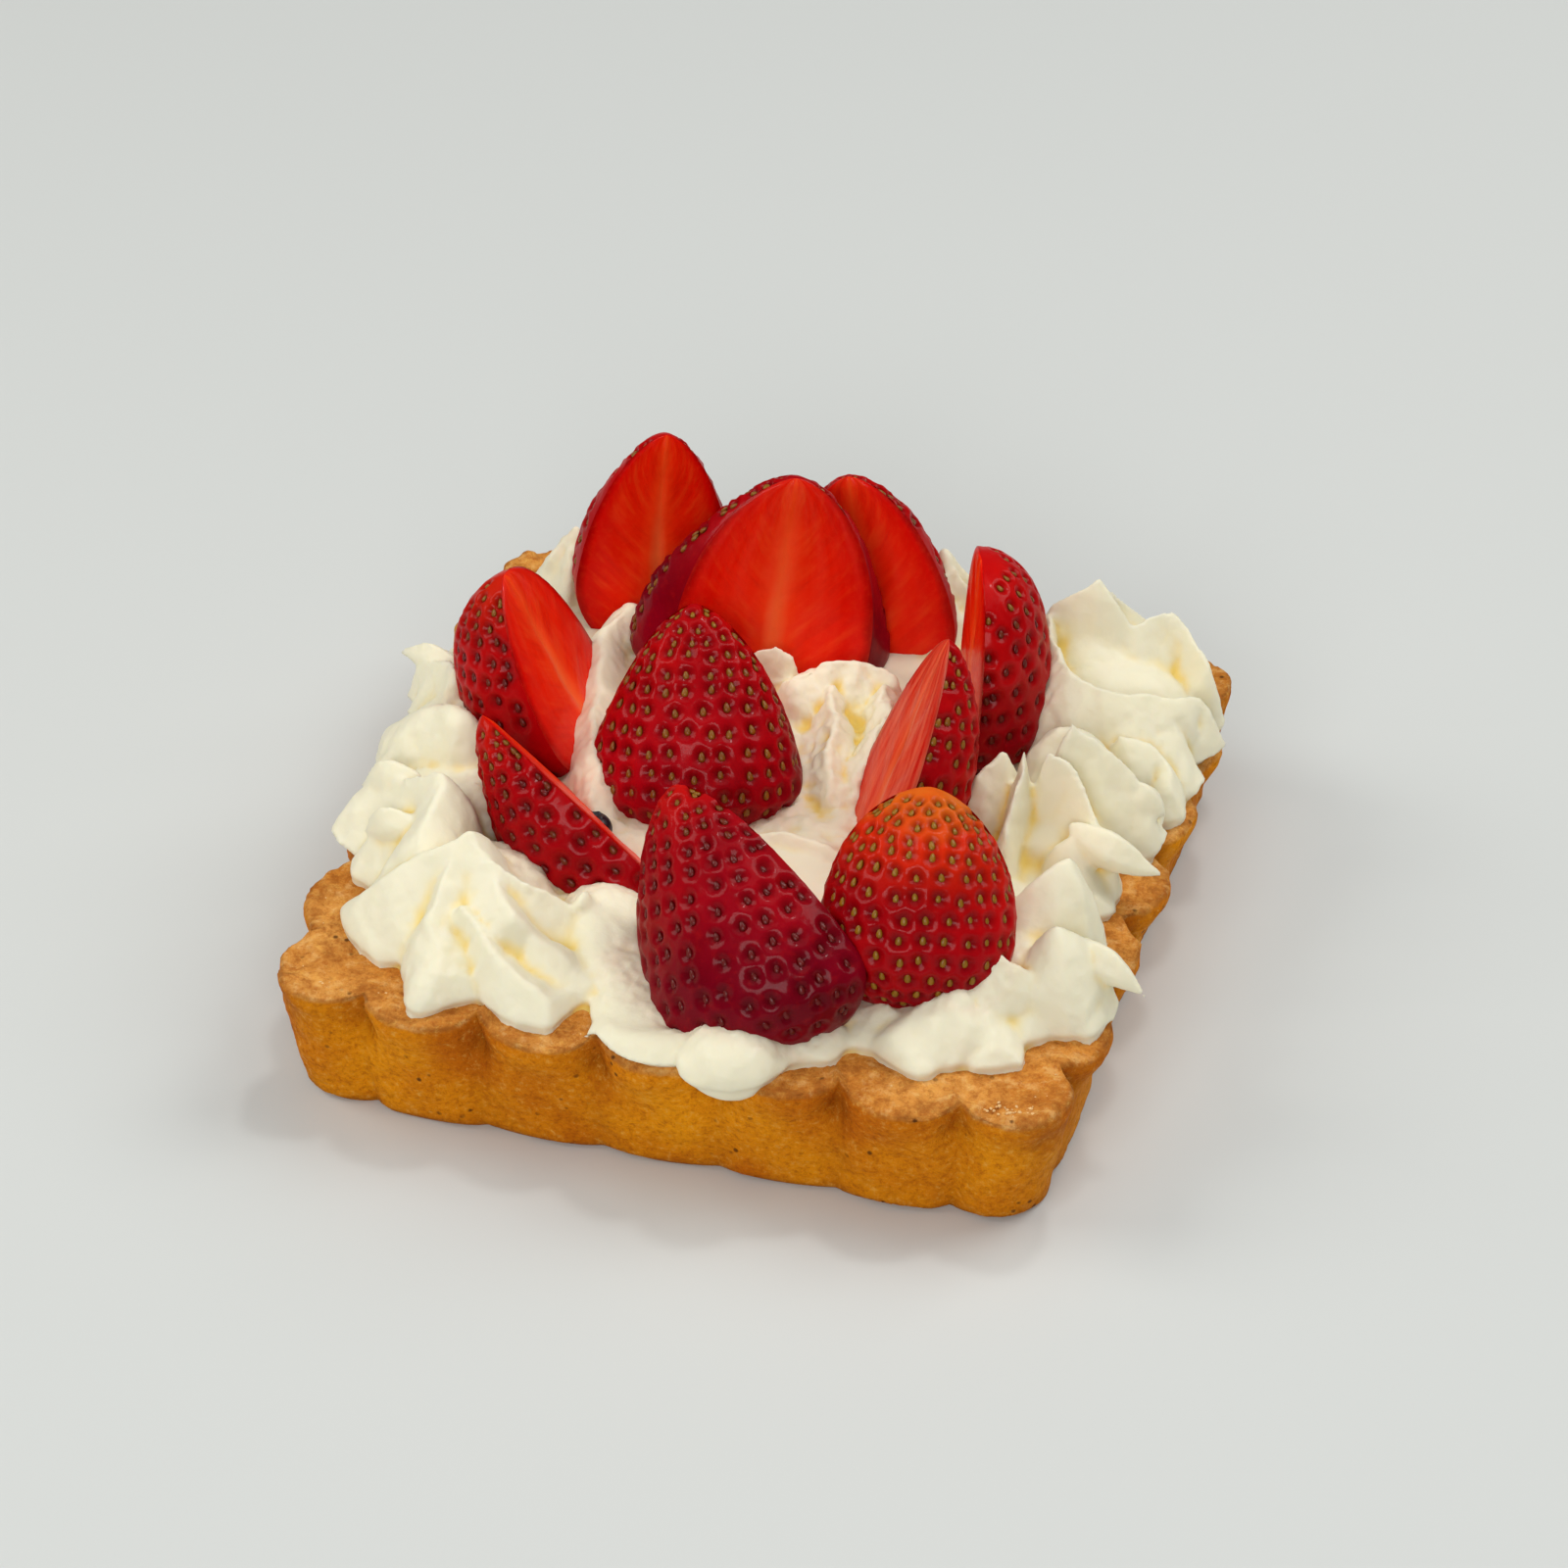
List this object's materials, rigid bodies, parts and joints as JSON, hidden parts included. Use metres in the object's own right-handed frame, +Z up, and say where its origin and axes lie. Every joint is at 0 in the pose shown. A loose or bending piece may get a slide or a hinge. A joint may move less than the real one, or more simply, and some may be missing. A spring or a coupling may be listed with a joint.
{
  "type": "strawberry tart",
  "caption": "Square fluted pastry tart filled with piped whipped cream and topped with upright strawberry halves, a dessert for one person.",
  "frame": {"origin": "centre of the flat underside of the crust", "axes": "+Z up, +X to the right along the front edge, +Y towards the back; the front faces -Y"},
  "size_m": [0.1115, 0.111, 0.053],
  "materials": {
    "crust": "matte baked pastry",
    "cream": "soft satin whipped cream",
    "strawberry": "glossy moist fruit",
    "blueberry": "satin fruit skin"
  },
  "bodies": {
    "root": {"crust": "crust", "cream": "cream", "strawberry_back_left": "strawberry", "strawberry_back_middle": "strawberry", "strawberry_back_right": "strawberry", "strawberry_left": "strawberry", "strawberry_right_back": "strawberry", "strawberry_centre": "strawberry", "strawberry_right": "strawberry", "strawberry_left_front": "strawberry", "strawberry_front": "strawberry", "strawberry_front_right": "strawberry", "blueberry": "blueberry"}
  },
  "joints": []
}
